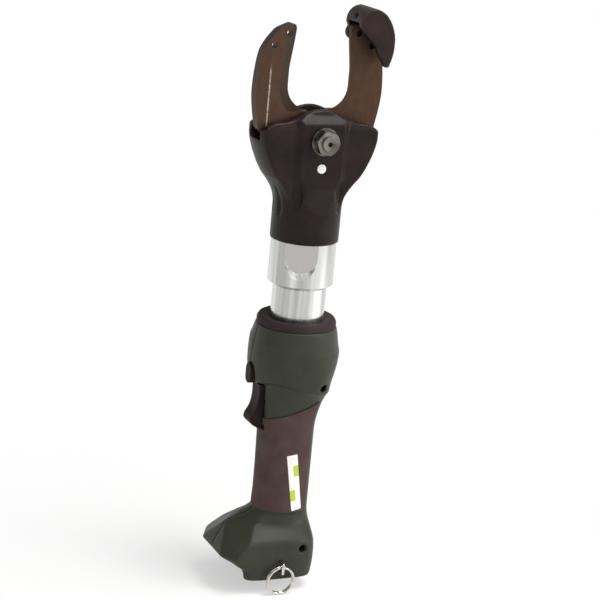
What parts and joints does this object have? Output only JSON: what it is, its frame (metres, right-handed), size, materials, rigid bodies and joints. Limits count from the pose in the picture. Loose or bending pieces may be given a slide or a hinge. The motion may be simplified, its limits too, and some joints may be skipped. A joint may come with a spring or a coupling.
{
  "type": "cordless cable cutter",
  "caption": "In-line cordless hydraulic cable cutter without its battery: slim grip, swivelling cylinder and a cast head with two curved bypass jaws, one with a tip guard.",
  "frame": {"origin": "on the tool's long axis, level with the lower edge of the battery foot's skirt", "axes": "+Z along the tool towards the jaws, -X towards the trigger and the foot's nose, -Y towards the housing half with the lanyard ring"},
  "size_m": [0.1081, 0.0761, 0.4496],
  "materials": {
    "casing_black": "black burnished cast steel, satin",
    "jaw_steel": "bronze-brown burnished tool steel, ground flats",
    "guard_black": "black satin steel",
    "cylinder_silver": "turned and bright plated",
    "housing_plastic": "moulded glass-filled nylon, fine grain",
    "pad_rubber": "overmoulded soft grip",
    "control_plastic": "moulded, fine grain",
    "fastener_steel": "turned",
    "screw_black": "black oxide",
    "plug_white": "bright cap",
    "inner_steel": "machined",
    "seal_rubber": "moulded",
    "bush_bronze": "turned",
    "pump_aluminium": "machined block",
    "board_green": "solder mask",
    "contact_brass": "stamped",
    "ring_nickel": "nickel-plated wire"
  },
  "bodies": {
    "handle": {"housing_near": "housing_plastic", "housing_far": "housing_plastic", "grip_pad_near": "pad_rubber", "grip_pad_far": "pad_rubber", "housing_screws": "screw_black", "collar_ring": "pad_rubber", "pump_block": "pump_aluminium", "oil_reservoir": "seal_rubber", "gearbox": "inner_steel", "motor": "inner_steel", "control_board": "board_green", "switch_module": "control_plastic", "trigger_pin": "inner_steel", "terminal_block": "control_plastic", "terminal_blades": "contact_brass", "ring_staple": "ring_nickel"},
    "head": {"cylinder": "cylinder_silver", "swivel_retainer": "inner_steel", "gland_bush": "bush_bronze", "return_spring": "inner_steel", "head_casing": "casing_black", "casing_plug": "plug_white", "pivot_bolt": "fastener_steel", "pivot_washer": "fastener_steel", "pivot_nut": "fastener_steel"},
    "ram": {"ram_rod": "inner_steel", "piston": "inner_steel", "piston_seal": "seal_rubber", "crosshead": "inner_steel", "crosshead_pins": "inner_steel"},
    "left_jaw": {"left_jaw": "jaw_steel", "left_ear_pin": "inner_steel"},
    "right_jaw": {"right_jaw": "jaw_steel", "right_ear_pin": "inner_steel", "tip_guard": "guard_black", "guard_screws": "screw_black"},
    "left_link": {"left_link": "inner_steel"},
    "right_link": {"right_link": "inner_steel"},
    "trigger": {"trigger": "control_plastic"},
    "retract_button": {"retract_button": "control_plastic"},
    "lanyard_ring": {"lanyard_ring": "ring_nickel"}
  },
  "joints": [
    {"name": "head_swivel", "type": "hinge", "parent": "handle", "child": "head", "pos_m": [0, 0, 0.19], "axis": [0, 0, 1], "range_deg": [-175, 175]},
    {"name": "ram_slide", "type": "slide", "parent": "head", "child": "ram", "axis": [0, 0, 1], "range_m": [0, 0.01863], "stiffness_N_per_m": 2000, "springref_m": -0.012, "deforming": ["return_spring"]},
    {"name": "left_jaw_pivot", "type": "hinge", "parent": "head", "child": "left_jaw", "pos_m": [0, 0, 0.342], "axis": [0, 1, 0], "range_deg": [0, 42]},
    {"name": "right_jaw_pivot", "type": "hinge", "parent": "head", "child": "right_jaw", "pos_m": [0, 0, 0.342], "axis": [0, -1, 0], "range_deg": [0, 42]},
    {"name": "left_link_pivot", "type": "hinge", "parent": "left_jaw", "child": "left_link", "pos_m": [-0.02427, 0, 0.33268], "axis": [0, -1, 0], "range_deg": [0, 42]},
    {"name": "right_link_pivot", "type": "hinge", "parent": "right_jaw", "child": "right_link", "pos_m": [0.02427, 0, 0.33268], "axis": [0, 1, 0], "range_deg": [0, 42]},
    {"name": "trigger_pull", "type": "hinge", "parent": "handle", "child": "trigger", "pos_m": [-0.0218, 0, 0.146], "axis": [0, -1, 0], "range_deg": [0, 7], "stiffness_Nm_per_rad": 0.6, "springref_deg": -8.59},
    {"name": "retract_press", "type": "slide", "parent": "handle", "child": "retract_button", "axis": [1, 0, 0], "range_m": [0, 0.0025], "stiffness_N_per_m": 800, "springref_m": -0.002},
    {"name": "ring_swing", "type": "hinge", "parent": "handle", "child": "lanyard_ring", "pos_m": [-0.0105, -0.0372, 0.0118], "axis": [-1, 0, 0], "range_deg": [0, 150]}
  ],
  "couplings": [
    {"joint": "left_jaw_pivot", "follows": "ram_slide", "rad_per_m": 39.334},
    {"joint": "right_jaw_pivot", "follows": "ram_slide", "rad_per_m": 39.334},
    {"joint": "left_link_pivot", "follows": "ram_slide", "rad_per_m": 39.334},
    {"joint": "right_link_pivot", "follows": "ram_slide", "rad_per_m": 39.334}
  ]
}
